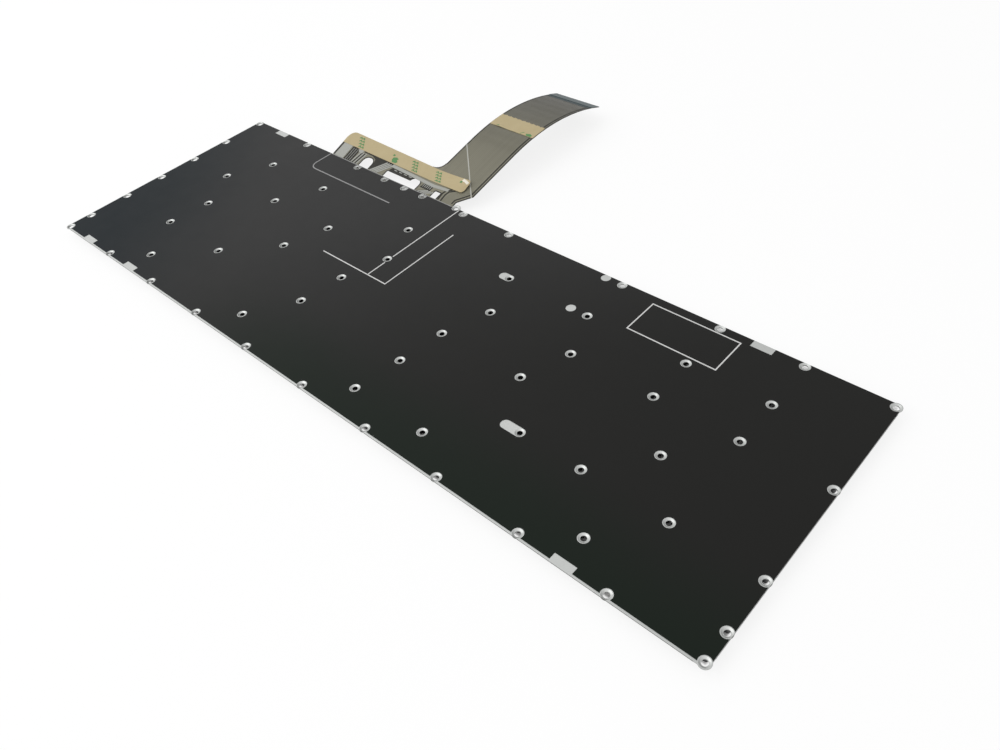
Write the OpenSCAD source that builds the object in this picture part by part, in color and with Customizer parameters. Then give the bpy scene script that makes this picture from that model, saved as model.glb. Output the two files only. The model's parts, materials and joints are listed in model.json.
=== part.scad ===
// Laptop replacement keyboard, lying with its keys down and its back up.
// X runs along the long side towards the numeric pad and Y towards the side the membrane tail leaves.
// Z is 0 at the tops of the keycaps, so every height is measured from the keys to the back.

/* [Support plate] */
// Width of the steel plate
plate_w = 336.8; // [336:0.1:345]
// Depth of the steel plate
plate_d = 110.8; // [109.5:0.1:116]
// Thickness of the steel plate
plate_t = 0.3; // [0.2:0.05:0.5]
// Corner radius of the plate
plate_corner = 2.4; // [1:0.1:4]
// Radius of the small lobe round each corner hole
corner_lobe_r = 2.0; // [1.7:0.1:2.3]

/* [Key field] */
// Centre distance of two neighbouring letter keys, in a plate of the usual width
key_pitch = 19; // [18.6:0.05:19]
// Width of one key of the function row, in a plate of the usual width
function_pitch = 16.83; // [16:0.01:17]
// Gap between neighbouring keycaps
key_gap = 3; // [2.9:0.1:4]
// Gap between the two half height arrow keys
arrow_gap = 1; // [0.6:0.1:3]
// Plate edge to the first cell of keys on the left
field_left = 0.3; // [0.2:0.1:1]
// Plate edge to the function row
field_near = 1.8; // [1.7:0.1:2.6]
// Plate edge to the line between the function row and the number row
first_line = 11.96; // [11.5:0.01:13]
// Line behind the last row to the plate's far edge
far_band = 3.84; // [3.6:0.01:6]
// Plate edge to the line between the main block and the numeric pad, in a plate of the usual width
pad_left = 272.8; // [272:0.1:273]
// Width of one key of the numeric pad, in a plate of the usual width
pad_pitch = 15.93; // [15.5:0.01:16]
// Line beside the last column of keys to the plate's right edge, in a plate of the usual width
field_right = 0.28; // [0.2:0.01:1]

/* [Keycaps] */
// Height of a keycap
cap_h = 1.9; // [1.8:0.05:2.4]
// Thickness of the top wall of a keycap
cap_wall = 0.8; // [0.6:0.05:0.9]
// Thickness of the skirt of a keycap
cap_skirt = 0.7; // [0.5:0.05:0.9]
// Corner radius of a keycap
cap_corner = 1.1; // [0.6:0.1:2]
// Width of the bevel round the top of a keycap
cap_bevel = 0.3; // [0.1:0.05:0.5]
// How far a key travels when it is pressed
key_travel = 1.3; // [1:0.1:1.5]
// Space left under a pressed key
press_clearance = 0.1; // [0.05:0.05:0.3]

/* [Membrane and back film] */
// Thickness of the circuit sheet on the key side
key_sheet_t = 0.1; // [0.05:0.05:0.2]
// Thickness of the spacer sheet
spacer_t = 0.1; // [0.05:0.05:0.2]
// Thickness of the circuit sheet under the plate
back_sheet_t = 0.1; // [0.05:0.05:0.2]
// Thickness of the black film on the back
film_t = 0.1; // [0.05:0.05:0.2]
// Bare strip of plate along the near edge
film_near_inset = 0.75; // [0.3:0.05:1]
// Setback of the film from the other three edges
film_side_inset = 0.12; // [0.05:0.01:0.4]
// Setback of the membrane from the plate's edges
sheet_inset = 0.6; // [0.4:0.05:1]

/* [Fixing holes] */
// Radius of each fixing hole
fixing_r = 1; // [0.7:0.05:1.1]
// Radius of the mouth of each countersunk dimple
dimple_r = 1.7; // [1.6:0.05:1.8]
// Depth of each dimple below the back of the plate
dimple_depth = 0.3; // [0.2:0.05:0.5]
// Flat ring left round the hole at the foot of a dimple
dimple_land = 0.12; // [0.05:0.01:0.2]
// Radius of the film's holes over the dimples
film_hole_r = 1.95; // [1.85:0.05:2.2]
// Plate edge to the centres of the holes along it
edge_inset = 1.6; // [1.5:0.05:1.8]
// Radius of the round lug that reaches past the far edge
lug_r = 2.1; // [1.9:0.05:2.4]
// Gap between the membrane's extension and the lug
lug_gap = 0.3; // [0.2:0.05:1]

// Places across the plate are for a plate of the usual width and spread with it
// First hole on the line under the number row, from the plate's left edge
second_line_x = 39.4; // [36:0.1:43]
// First hole on the next line
third_line_x = 41.7; // [38:0.1:45]
// First hole on the line after that
fourth_line_x = 29.4; // [26:0.1:33]
// Hole in the long slot of the film
slot_x = 248; // [244:0.1:252]
// Length of the long slot and of the short one
slot_l = [9.9, 6.6]; // [5:0.1:11]
// Odd holes along the far edge
far_x = [111, 122.8, 147.8, 230.9]; // [100:0.1:240]
// Blank discs of the film, from the plate's left edge
blank_x = 223.3; // [215:0.1:228]
// Bare rectangles along the near edge
near_bare_x = [15.4, 49.8, 285.4]; // [10:0.1:300]
// Bare rectangles along the far edge
far_bare_x = [16.6, 285.2]; // [10:0.1:300]
// Width of a bare rectangle
bare_w = 8.1; // [6:0.1:9]
// Depth of a bare rectangle
bare_d = 3.2; // [2:0.1:3.3]

/* [Membrane tail] */
// Start of the membrane's extension, from the plate's left edge
extension_x = 58.2; // [50:0.1:64]
// Width of the membrane's extension
extension_w = 81.4; // [70:0.1:90]
// Reach of the extension past the plate's far edge
extension_reach = 14.9; // [13:0.1:18]
// Start and end of the slant from the extension to the tail, past the plate's far edge
slant = [2.9, 8.7]; // [2.5:0.1:11]
// Step of the slant, from the extension's right edge out to the tail's
slant_step = 4.8; // [3:0.1:8]
// Corner radius of the extension
extension_corner = 4; // [2:0.5:5]
// Plate's far edge to the line in which the extension bends up
bend_gap = 0.4; // [0.3:0.05:1]
// Radius between the extension and the tail
root_fillet = 2.5; // [1:0.5:4]
// Width of the tail
tail_w = 26.4; // [22:0.1:28]
// Angle at which the extension and the tail rise
tail_rise = 12.5; // [6:0.5:16]
// Straight length of extension and tail
tail_straight = 37; // [34:0.5:50]
// Radius in which the tail bends back down
tail_radius = 105; // [80:1:160]
// Angle over which the tail bends back down
tail_bend = 34; // [20:1:36]
// Length of the stiffener at the end of the tail
stiffener_l = 6; // [4:0.5:10]
// Thickness of the stiffener
stiffener_t = 0.2; // [0.1:0.05:0.3]

/* [Tapes] */
// Width of the tape along the extension
edge_tape_w = 7.1; // [4:0.1:8]
// Extension's right edge to the end of the tape along it
edge_tape_gap = 2.4; // [1:0.1:8]
// Start of the patch across the tail, from the bend at the plate
patch_start = 50; // [42:0.5:60]
// Width of the patch across the tail
patch_w = 9; // [6:0.5:12]
// Thickness of both tapes with their liners
tape_t = 0.15; // [0.1:0.05:0.3]

/* [Key mechanism] */
// Distance between the two end bars of a link
link_span = 10; // [8:0.1:10.4]
// Width of the outer link
link_w = 12.4; // [11:0.1:13]
// Thickness of the links' bars
link_t = 0.6; // [0.5:0.05:0.7]
// Width of the links' side arms
arm_w = 0.6; // [0.4:0.05:0.7]
// Running gap beside and under the links
link_gap = 0.1; // [0.05:0.01:0.15]
// Base radius of a rubber dome
dome_r = 3.2; // [2.4:0.1:3.4]
// Wall thickness of a rubber dome
dome_t = 0.35; // [0.25:0.05:0.45]
// Width of a hook on the plate
hook_w = 3; // [2:0.1:4]
// Thickness of a hook on the plate
hook_t = 0.25; // [0.2:0.05:0.35]
// Radius of a stabiliser wire
wire_r = 0.3; // [0.2:0.05:0.3]
// Reach of a stabiliser wire's arms
wire_arm = 5; // [4:0.1:6]
// Length of the pins at the ends of the arms
wire_pin = 1.6; // [1.4:0.1:2]

/* [Hidden] */
$fn = 48;
NODES = [
    "back_film", "support_plate", "membrane_back_sheet", "membrane_spacer", "membrane_key_sheet",
    "tail_stiffener", "extension_tape", "tail_tape", "rubber_domes", "scissor_links",
    "stabiliser_wires", "function_row_keys", "command_keys", "numeric_pad_keys", "space_bar",
    "key_1", "key_2", "key_3", "key_4", "key_5", "key_6", "key_7", "key_8", "key_9", "key_0",
    "key_minus", "key_equals",
    "key_q", "key_w", "key_e", "key_r", "key_t", "key_y", "key_u", "key_i", "key_o", "key_p",
    "key_left_bracket", "key_right_bracket",
    "key_a", "key_s", "key_d", "key_f", "key_g", "key_h", "key_j", "key_k", "key_l",
    "key_semicolon", "key_quote",
    "key_z", "key_x", "key_c", "key_v", "key_b", "key_n", "key_m", "key_comma", "key_period",
    "key_slash"
];

// Heights of the stack, from the keycap tops to the back film
sheet_z = cap_h + key_travel + press_clearance;
spacer_z = sheet_z + key_sheet_t;
back_sheet_z = spacer_z + spacer_t;
plate_z = back_sheet_z + back_sheet_t;
back_z = plate_z + plate_t;
cut = 1;

// The layout across the plate is stated for the usual width and spreads with the plate
usual_w = pad_left + 4 * pad_pitch + field_right;
spread = plate_w / usual_w;
letter_w = key_pitch * spread;
function_w = function_pitch * spread;
pad_start = pad_left * spread;
pad_w = pad_pitch * spread;

// Lines between the rows of keys, counted from the function row
row_d = (plate_d - far_band - first_line) / 5;
function line_y(i) = first_line + i * row_d;
field_far = line_y(5);

// Lines between the columns: each typing row starts half or a quarter of a key further right
number_start = field_left + function_w;
top_start = number_start + letter_w / 2;
home_start = top_start + letter_w / 4;
bottom_start = home_start + letter_w / 2;
function pad_x(i) = pad_start + i * pad_w;

// A cell is [left, right, near, far]: the keycap fills it up to half a gap on each side
function cell(x0, x1, row) = [x0, x1, line_y(row - 1), line_y(row)];
function letters(start, count, row) =
    [for (i = [0 : count - 1]) cell(start + i * letter_w, start + (i + 1) * letter_w, row)];

number_cells = letters(number_start, 12, 1);
top_cells = letters(top_start, 12, 2);
home_cells = letters(home_start, 11, 3);
lower_cells = letters(bottom_start, 10, 4);
space_left = bottom_start + 2 * letter_w;
space_right = space_left + 5 * letter_w;
space_cell = cell(space_left, space_right, 5);

// Function row: two wider keys, fourteen like ones and four over the numeric pad
function_start = pad_start - 14 * function_w;
function_cells = concat(
    [for (i = [0 : 1]) [
        field_left + i * (function_start - field_left) / 2,
        field_left + (i + 1) * (function_start - field_left) / 2, field_near, first_line]],
    [for (i = [0 : 13]) [
        function_start + i * function_w,
        function_start + (i + 1) * function_w, field_near, first_line]],
    [for (i = [0 : 3]) [pad_x(i), pad_x(i + 1), field_near, first_line]]);

// Keys round the letters, and the arrow keys with two of half height
arrow_left = space_right + 2 * letter_w;
arrow_w = (pad_start - arrow_left) / 3;
half_line = (line_y(4) + line_y(5)) / 2;
half_lap = (key_gap - arrow_gap) / 2;
command_cells = [
    cell(field_left, number_start, 1),
    cell(number_start + 12 * letter_w, pad_start, 1),
    cell(field_left, top_start, 2),
    cell(top_start + 12 * letter_w, pad_start, 2),
    cell(field_left, home_start, 3),
    cell(home_start + 11 * letter_w, pad_start, 3),
    cell(field_left, bottom_start, 4),
    cell(bottom_start + 10 * letter_w, pad_start, 4),
    cell(field_left, bottom_start - letter_w, 5),
    cell(bottom_start - letter_w, bottom_start, 5),
    cell(bottom_start, bottom_start + letter_w, 5),
    cell(bottom_start + letter_w, space_left, 5),
    cell(space_right, space_right + letter_w, 5),
    cell(space_right + letter_w, arrow_left, 5),
    cell(arrow_left, arrow_left + arrow_w, 5),
    cell(arrow_left + 2 * arrow_w, pad_start, 5),
    [arrow_left + arrow_w, arrow_left + 2 * arrow_w, line_y(4), half_line + half_lap],
    [arrow_left + arrow_w, arrow_left + 2 * arrow_w, half_line - half_lap, line_y(5)]
];

// Numeric pad: two tall keys on the right and one double key in the last row
pad_cells = concat(
    [for (i = [0 : 3]) cell(pad_x(i), pad_x(i + 1), 1)],
    [for (row = [2 : 4]) for (i = [0 : 2]) cell(pad_x(i), pad_x(i + 1), row)],
    [
        [pad_x(3), pad_x(4), line_y(1), line_y(3)],
        [pad_x(3), pad_x(4), line_y(3), line_y(5)],
        cell(pad_x(0), pad_x(2), 5),
        cell(pad_x(2), pad_x(3), 5)
    ]);

typing_cells = concat(number_cells, top_cells, home_cells, lower_cells);
first_typing_node = search(["key_1"], NODES)[0];
all_cells = concat(function_cells, command_cells, pad_cells, [space_cell], typing_cells);

// Measures of one key
function cap_w(c) = c[1] - c[0] - key_gap;
function cap_d(c) = c[3] - c[2] - key_gap;
function centre(c) = [(c[0] + c[1]) / 2, (c[2] + c[3]) / 2];
function is_short(c) = cap_d(c) < 0.7 * link_w;
function long_side(c) = max(cap_w(c), cap_d(c));
function is_long(c) = long_side(c) > letter_w + key_gap && !is_short(c);
function is_tall(c) = is_long(c) && cap_d(c) > cap_w(c);

// Room between the skirts, across and along the links
function room(side) = side - 2 * cap_skirt - 2 * link_gap;
function across(c) = is_short(c) ? cap_d(c) : cap_w(c);
wire_room = 2 * wire_r + 3 * link_gap;
function link_width(c) = min(link_w, room(across(c)) - (is_tall(c) ? 2 * wire_room : 0));
function along(c) = is_short(c) ? cap_w(c) : cap_d(c);
function span(c) = min(link_span, room(along(c)) - link_t);
function opening(c) = link_width(c) - 4 * arm_w - 2 * link_gap;
function dome_base(c) = min(dome_r, opening(c) / 2 - link_gap);
function turn(c) = is_short(c) ? 90 : 0;

// Heights of the links' bars: at the keycap and at the plate
link_low = cap_wall + link_gap + link_t / 2;
link_high = sheet_z - link_gap - link_t / 2;
function link_angle(c) = asin((link_high - link_low) / span(c));

// Ends of the membrane's extension
extension_left = extension_x * spread;
extension_right = extension_left + extension_w;

// Fixing holes inside the field, on the lines between the rows
inner_holes = concat(
    [for (i = [1, 5, 9, 11]) [function_start + i * function_w, line_y(0)]],
    [for (i = [0, 2, 5, 8]) [second_line_x * spread + i * letter_w, line_y(1)]],
    [for (i = [0, 3, 5, 8, 10]) [third_line_x * spread + i * letter_w, line_y(2)]],
    [for (i = [0, 2, 4, 6, 9, 11]) [fourth_line_x * spread + i * letter_w, line_y(3)]],
    [for (i = [0, 2, 5, 8, 10]) [bottom_start + i * letter_w, line_y(4)]],
    [for (i = [1, 3, 4]) for (x = [pad_x(0), pad_x(2)]) [x, line_y(i)]],
    [for (i = [0, 2]) [pad_x(1), line_y(i)]]);
slot_hole = [slot_x * spread, line_y(1)];
short_slot_hole = [bottom_start + 8 * letter_w, line_y(4)];
far_y = plate_d - edge_inset;
right_x = plate_w - edge_inset;
corner_holes = [for (x = [edge_inset, right_x]) for (y = [edge_inset, far_y]) [x, y]];
near_holes = concat(
    [for (i = [0 : 7]) [function_start + 2 * i * function_w, edge_inset]],
    [[pad_x(2), edge_inset]]);
far_holes = concat(
    [for (x = [bottom_start, space_left, space_left + letter_w, space_right]) [x, far_y]],
    [for (x = far_x) [x * spread, far_y]],
    [for (i = [0, 2]) [pad_x(i), far_y]]);
left_holes = [for (i = [0 : 4]) [edge_inset, line_y(i)]];
right_holes = [for (i = [0, 1, 3]) [right_x, line_y(i)]];
lug_hole = [extension_right + lug_gap + lug_r, plate_d];
edge_holes = concat(corner_holes, near_holes, far_holes, left_holes, right_holes, [lug_hole]);
all_holes = concat(inner_holes, [slot_hole], edge_holes);

blank_discs = [for (y = [line_y(4), far_y]) [blank_x * spread, y]];

// Gap round everything that passes through the membrane
sheet_gap = 0.25;

// Foot of a dimple and the collar it makes on the key side
foot_r = fixing_r + dimple_land;
collar_foot_r = foot_r + 0.75 * plate_t;
collar_r = dimple_r + dimple_land;
dimple_floor_z = back_z - dimple_depth;
sheet_hole_r = collar_r + sheet_gap;

// Hooks: a stem through the membrane and a lip that carries a bar
hook_reach = link_t / 2 + link_gap;
lip_l = hook_reach + hook_t + link_t / 4;

// Clips in a keycap, beside the hooks
clip_t = 0.5;
clip_l = 2;
clip_start = hook_w / 2 + 3 * link_gap;

// Stabiliser wires under the long keys
wire_low = cap_wall + link_gap + wire_r;
wire_high = sheet_z - link_gap - wire_r;
wire_hook_w = 1;
wire_bend = 2 * wire_r;
wire_tilt = atan((wire_high - wire_low) / wire_arm);
function wire_half(c) = long_side(c) / 2 - cap_skirt - wire_r - 2 * link_gap;
function wire_side(c) = min(cap_w(c), cap_d(c)) / 2 - cap_skirt - wire_r - 2 * link_gap;
function wire_turn(c) = is_tall(c) ? 90 : 0;

// Tail: a straight rise from the plate's far edge and an arc back down
bend_y = plate_d + bend_gap;
arc_y = bend_y + tail_straight * cos(tail_rise);
arc_z = tail_straight * sin(tail_rise);
tip_angle = tail_bend - tail_rise;
tip_y = arc_y + tail_radius * (sin(tail_rise) + sin(tip_angle));
tail_right = extension_right + slant_step;
tail_left = tail_right - tail_w;
extension_far = plate_d + extension_reach;
root_overlap = 4;

// Openings at the extension's root: [left and width as shares of the extension's width,
// reach past the plate, corner radius]
openings = [
    [0.2334, 0.0774, 6, 2.8], [0.4423, 0.2494, 3.7, 0.6],
    [0.629, 0.0713, 5.9, 2.5], [0.8256, 0.0418, 4, 0.5]
];

// Share of a dome's radius at its crown and at its shoulder, its roof, its contact pill and its foot
crown_share = 0.55;
shoulder_share = 0.85;
pill_share = 0.6;
dome_roof = 0.5;
pill_l = 0.4;
dome_foot = 0.25;

// Share of a dome's radius that its contact opening in the spacer has
contact_share = 0.6;

// Pivot of a pair of links
boss_r = 0.5;
pivot_r = 0.2;
pivot_hole_r = 0.25;

// Everything is drawn from the plate's near left corner and set round the middle of the whole part
module place() {
    translate([-plate_w / 2, -tip_y / 2, 0]) children();
}

// Flat outlines
module rounded(w, d, r) {
    translate([r, 0]) square([w - 2 * r, d]);
    translate([0, r]) square([w, d - 2 * r]);
    for (x = [r, w - r]) for (y = [r, d - r]) translate([x, y]) circle(r);
}

module discs(spots, r) {
    for (p = spots) translate(p) circle(r);
}

module plate_outline() {
    rounded(plate_w, plate_d, plate_corner);
    discs(corner_holes, corner_lobe_r);
    translate(lug_hole) circle(lug_r);
}

// The two hooks of a key, and the two of a stabiliser wire
module at_hooks(c) {
    translate(centre(c)) rotate(turn(c)) for (side = [0, 1])
        mirror([0, side, 0]) translate([0, span(c) / 2, 0]) children();
}

module at_wire_hooks(c) {
    if (is_long(c)) translate(centre(c)) rotate(wire_turn(c)) for (side = [-1, 1])
        translate([side * (wire_half(c) - wire_pin / 2), wire_arm - wire_side(c), 0]) children();
}

module hook_window(w, grow) {
    translate([-w / 2 - grow, -link_t / 4 - grow]) square([w + 2 * grow, lip_l + 2 * grow]);
}

module all_windows(grow) {
    for (c = all_cells) {
        at_hooks(c) hook_window(hook_w, grow);
        at_wire_hooks(c) hook_window(wire_hook_w, grow);
    }
}

// Back film
module film_outline() {
    translate([film_side_inset, film_near_inset])
        rounded(plate_w - 2 * film_side_inset, plate_d - film_near_inset - film_side_inset,
            plate_corner - film_side_inset);
}

module film_slot(p, length) {
    straight = length - 2 * film_hole_r;
    translate(p) {
        circle(film_hole_r);
        translate([-straight, -film_hole_r]) square([straight, 2 * film_hole_r]);
        translate([-straight, 0]) circle(film_hole_r);
    }
}

module back_film() {
    color("#2b2c2c") place() translate([0, 0, back_z]) linear_extrude(film_t) difference() {
        film_outline();
        discs(all_holes, film_hole_r);
        discs(blank_discs, film_hole_r);
        film_slot(slot_hole, slot_l[0]);
        film_slot(short_slot_hole, slot_l[1]);
        for (x = near_bare_x) translate([x * spread, -cut]) square([bare_w, bare_d + cut]);
        for (x = far_bare_x) translate([x * spread, plate_d - bare_d]) square([bare_w, bare_d + cut]);
    }
}

// Support plate with its dimples, its hooks and the windows that they are bent from
module lanced(w) {
    translate([-w / 2, -lip_l]) square([w, lip_l + hook_reach]);
}

module hook(w) {
    foot = sheet_z - 2 * link_gap - link_t - hook_t;
    translate([-w / 2, hook_reach, foot]) cube([w, hook_t, plate_z - foot + plate_t / 2]);
    translate([-w / 2, -link_t / 4, foot]) cube([w, lip_l, hook_t]);
}

module at_holes() {
    for (p = all_holes) translate([p[0], p[1], dimple_floor_z]) children();
}

module support_plate() {
    color("#c9cbcd") place() {
        difference() {
            union() {
                translate([0, 0, plate_z]) linear_extrude(plate_t) difference() {
                    plate_outline();
                    for (c = all_cells) {
                        at_hooks(c) lanced(hook_w);
                        at_wire_hooks(c) lanced(wire_hook_w);
                    }
                }
                at_holes() translate([0, 0, -plate_t])
                    cylinder(h = dimple_depth, r1 = collar_foot_r, r2 = collar_r);
            }
            at_holes() cylinder(h = dimple_depth, r1 = foot_r, r2 = dimple_r);
            at_holes() translate([0, 0, -plate_t - cut]) cylinder(h = plate_t + 2 * cut, r = fixing_r);
        }
        for (c = all_cells) {
            at_hooks(c) hook(hook_w);
            at_wire_hooks(c) hook(wire_hook_w);
        }
    }
}

// Membrane
module sheet_outline() {
    translate([sheet_inset, sheet_inset])
        rounded(plate_w - 2 * sheet_inset, plate_d - 2 * sheet_inset, plate_corner);
}

module sheet_cuts() {
    discs(all_holes, sheet_hole_r);
    all_windows(sheet_gap);
}

module membrane_key_sheet() {
    color("#b9b7a4") place() translate([0, 0, sheet_z]) linear_extrude(key_sheet_t) difference() {
        sheet_outline();
        sheet_cuts();
    }
}

module membrane_spacer() {
    color("#d8d6c8") place() translate([0, 0, spacer_z]) linear_extrude(spacer_t) difference() {
        sheet_outline();
        sheet_cuts();
        for (c = all_cells) translate(centre(c)) circle(contact_share * dome_base(c));
    }
}

// The extension and the tail in plan, with the openings at the extension's root
module tail_outline() {
    near = plate_d - root_overlap;
    r = extension_corner;
    translate([extension_left + r, near]) square([tail_left - extension_left, extension_far - near]);
    translate([extension_left, near]) square([2 * r, extension_far - near - r]);
    translate([extension_left + r, extension_far - r]) circle(r);
    polygon([
        [tail_left, near], [extension_right, near], [extension_right, plate_d + slant[0]],
        [tail_right, plate_d + slant[1]], [tail_right, tip_y + cut], [tail_left, tip_y + cut]
    ]);
    difference() {
        translate([tail_left - root_fillet, extension_far - cut]) square(root_fillet + cut);
        translate([tail_left - root_fillet, extension_far + root_fillet]) circle(root_fillet);
    }
}

module opening_shape(left, w, reach, r) {
    translate([extension_left + left, plate_d - sheet_inset]) {
        square([w, reach + sheet_inset - r]);
        translate([r, 0]) square([w - 2 * r, reach + sheet_inset]);
        for (x = [r, w - r]) translate([x, reach + sheet_inset - r]) circle(r);
    }
}

// A strip that follows the tail, seen along X: above is its height over the tail's lower face
module tail_strip(above, t, from_angle, to_angle) {
    inner = tail_radius + above;
    intersection() {
        difference() {
            circle(inner + t, $fn = 720);
            circle(inner, $fn = 720);
        }
        polygon([
            [0, 0],
            2 * inner * [sin(from_angle), cos(from_angle)],
            2 * inner * [sin(to_angle), cos(to_angle)]
        ]);
    }
}

module along_x(w) {
    rotate([90, 0, 90]) linear_extrude(w) children();
}

module at_arc_centre() {
    translate([
        0, arc_y + tail_radius * sin(tail_rise), back_sheet_z + arc_z - tail_radius * cos(tail_rise)
    ]) children();
}

module tail_side() {
    rise = [cos(tail_rise), sin(tail_rise)];
    up = [-sin(tail_rise), cos(tail_rise)];
    start = [bend_y, back_sheet_z];
    top_start = [bend_y - back_sheet_t * tan(tail_rise / 2), plate_z];
    end = start + tail_straight * rise;
    polygon([
        [plate_d - root_overlap, back_sheet_z], start, end, end + back_sheet_t * up, top_start,
        [plate_d - root_overlap, plate_z]
    ]);
}

module membrane_back_sheet() {
    color("#8f8c7e") place() difference() {
        union() {
            translate([0, 0, back_sheet_z]) linear_extrude(back_sheet_t) sheet_outline();
            intersection() {
                translate([0, 0, back_sheet_z - cut]) linear_extrude(tail_radius) tail_outline();
                union() {
                    along_x(plate_w) tail_side();
                    at_arc_centre() along_x(plate_w)
                        tail_strip(0, back_sheet_t, -tail_rise, tip_angle);
                }
            }
        }
        translate([0, 0, back_sheet_z - cut]) linear_extrude(2 * cut) sheet_cuts();
        translate([0, 0, back_sheet_z - cut]) linear_extrude(root_overlap)
            for (o = openings) opening_shape(o[0] * extension_w, o[1] * extension_w, o[2], o[3]);
    }
}

function arc_angle(length) = length / tail_radius * 180 / PI;

module tail_stiffener() {
    color("#5a6a6e") place() translate([tail_left, 0, 0]) at_arc_centre() along_x(tail_w)
        tail_strip(back_sheet_t, stiffener_t, tip_angle - arc_angle(stiffener_l), tip_angle);
}

module tail_tape() {
    start = arc_angle(patch_start - tail_straight) - tail_rise;
    color("#c9b68f") place() translate([tail_left, 0, 0]) at_arc_centre() along_x(tail_w)
        tail_strip(back_sheet_t, tape_t, start, start + arc_angle(patch_w));
}

module extension_tape() {
    far = (extension_far - bend_y) / cos(tail_rise);
    near = far - edge_tape_w;
    r = extension_corner;
    length = extension_w - edge_tape_gap;
    color("#c9b68f") place() translate([extension_left, bend_y, back_sheet_z])
        rotate([tail_rise, 0, 0]) translate([0, near, back_sheet_t]) linear_extrude(tape_t) {
            translate([r, 0]) square([length - r, edge_tape_w]);
            square([2 * r, edge_tape_w - r]);
            translate([r, edge_tape_w - r]) circle(r);
        }
}

// Rubber domes, mouth on the membrane and plunger against the keycap
module dome(r) {
    crown = crown_share * r;
    shoulder = shoulder_share * r;
    hollow = crown - dome_t;
    roof_z = cap_wall + dome_roof;
    rotate_extrude() difference() {
        polygon([
            [0, cap_wall], [crown, cap_wall], [shoulder, sheet_z - dome_foot],
            [r, sheet_z - dome_foot], [r, sheet_z], [0, sheet_z]
        ]);
        polygon([
            [0, roof_z + pill_l], [pill_share * hollow, roof_z + pill_l],
            [pill_share * hollow, roof_z], [hollow, roof_z], [shoulder - dome_t, sheet_z + cut],
            [0, sheet_z + cut]
        ]);
    }
}

module rubber_domes() {
    color("#9aa0a2") place() for (c = all_cells) translate(centre(c)) dome(dome_base(c));
}

// Scissor links: an outer and an inner frame that cross at a pivot
module link(w, l) {
    linear_extrude(link_t, center = true) difference() {
        square([w, l + link_t], center = true);
        square([w - 2 * arm_w, l - link_t], center = true);
    }
    for (x = [-w / 2, w / 2 - arm_w]) translate([x, 0, 0]) rotate([0, 90, 0])
        cylinder(h = arm_w, r = boss_r);
}

module scissor(c) {
    w = link_width(c);
    inner_w = w - 2 * arm_w - 2 * link_gap;
    translate([0, 0, (link_low + link_high) / 2]) translate(centre(c)) rotate(turn(c)) {
        rotate([link_angle(c), 0, 0]) difference() {
            link(w, span(c));
            rotate([0, 90, 0]) cylinder(h = w + cut, r = pivot_hole_r, center = true);
        }
        rotate([-link_angle(c), 0, 0]) {
            link(inner_w, span(c));
            for (x = [-w / 2, inner_w / 2]) translate([x, 0, 0]) rotate([0, 90, 0])
                cylinder(h = (w - inner_w) / 2, r = pivot_r);
        }
    }
}

module scissor_links() {
    color("#d9dadb") place() for (c = all_cells) scissor(c);
}

// Stabiliser wires: a bar in the keycap, and two arms whose pins sit in the plate's hooks
module wire_shape(half, arm) {
    straight = half - wire_bend;
    translate([-straight, 0, 0]) rotate([0, 90, 0]) cylinder(h = 2 * straight, r = wire_r);
    for (side = [0, 1]) mirror([side, 0, 0]) {
        translate([half, wire_bend, 0]) rotate([-90, 0, 0])
            cylinder(h = arm - 2 * wire_bend, r = wire_r);
        translate([half - wire_pin, arm, 0]) rotate([0, 90, 0])
            cylinder(h = wire_pin - wire_bend, r = wire_r);
        translate([straight, wire_bend, 0]) rotate(-90) elbow();
        translate([straight, arm - wire_bend, 0]) elbow();
    }
}

module elbow() {
    rotate_extrude(angle = 90) translate([wire_bend, 0]) circle(wire_r);
}

module stabiliser_wire(c) {
    translate([0, 0, wire_low]) translate(centre(c)) rotate(wire_turn(c))
        translate([0, -wire_side(c), 0]) rotate([wire_tilt, 0, 0])
            wire_shape(wire_half(c), wire_arm / cos(wire_tilt));
}

module stabiliser_wires() {
    color("#b8babc") place() for (c = all_cells) if (is_long(c)) stabiliser_wire(c);
}

// Keycaps: a bevelled shell with clips for the links' bars, its top face at Z 0
module bevelled_side(w, l) {
    rotate([90, 0, 0]) translate([0, 0, -l / 2]) linear_extrude(l) polygon([
        [cap_bevel - w / 2, 0], [w / 2 - cap_bevel, 0], [w / 2, cap_bevel], [w / 2, cap_h],
        [-w / 2, cap_h], [-w / 2, cap_bevel]
    ]);
}

module keycap(c) {
    w = cap_w(c);
    d = cap_d(c);
    translate(centre(c)) {
        difference() {
            intersection() {
                linear_extrude(cap_h) translate([-w / 2, -d / 2]) rounded(w, d, cap_corner);
                bevelled_side(w, d + 2 * cut);
                rotate(90) bevelled_side(d, w + 2 * cut);
            }
            translate([cap_skirt - w / 2, cap_skirt - d / 2, cap_wall])
                cube([w - 2 * cap_skirt, d - 2 * cap_skirt, cap_h]);
        }
        l = min(clip_l, link_width(c) / 2 - clip_start);
        rotate(turn(c)) for (side = [0, 1]) mirror([0, side, 0]) for (x = [clip_start, -clip_start - l])
            translate([x, span(c) / 2 + hook_reach, cap_wall - link_gap])
                cube([l, clip_t, link_t + 2 * link_gap]);
    }
}

module key_group(cells) {
    color("#26272a") place() for (c = cells) keycap(c);
}

module function_row_keys() {
    key_group(function_cells);
}

module command_keys() {
    key_group(command_cells);
}

module numeric_pad_keys() {
    key_group(pad_cells);
}

module space_bar() {
    key_group([space_cell]);
}

module typing_key(i) {
    key_group([typing_cells[i]]);
}

back_film();
support_plate();
membrane_back_sheet();
membrane_spacer();
membrane_key_sheet();
tail_stiffener();
extension_tape();
tail_tape();
rubber_domes();
scissor_links();
stabiliser_wires();
function_row_keys();
command_keys();
numeric_pad_keys();
space_bar();
for (i = [0 : len(typing_cells) - 1])
    typing_key(i);
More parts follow.
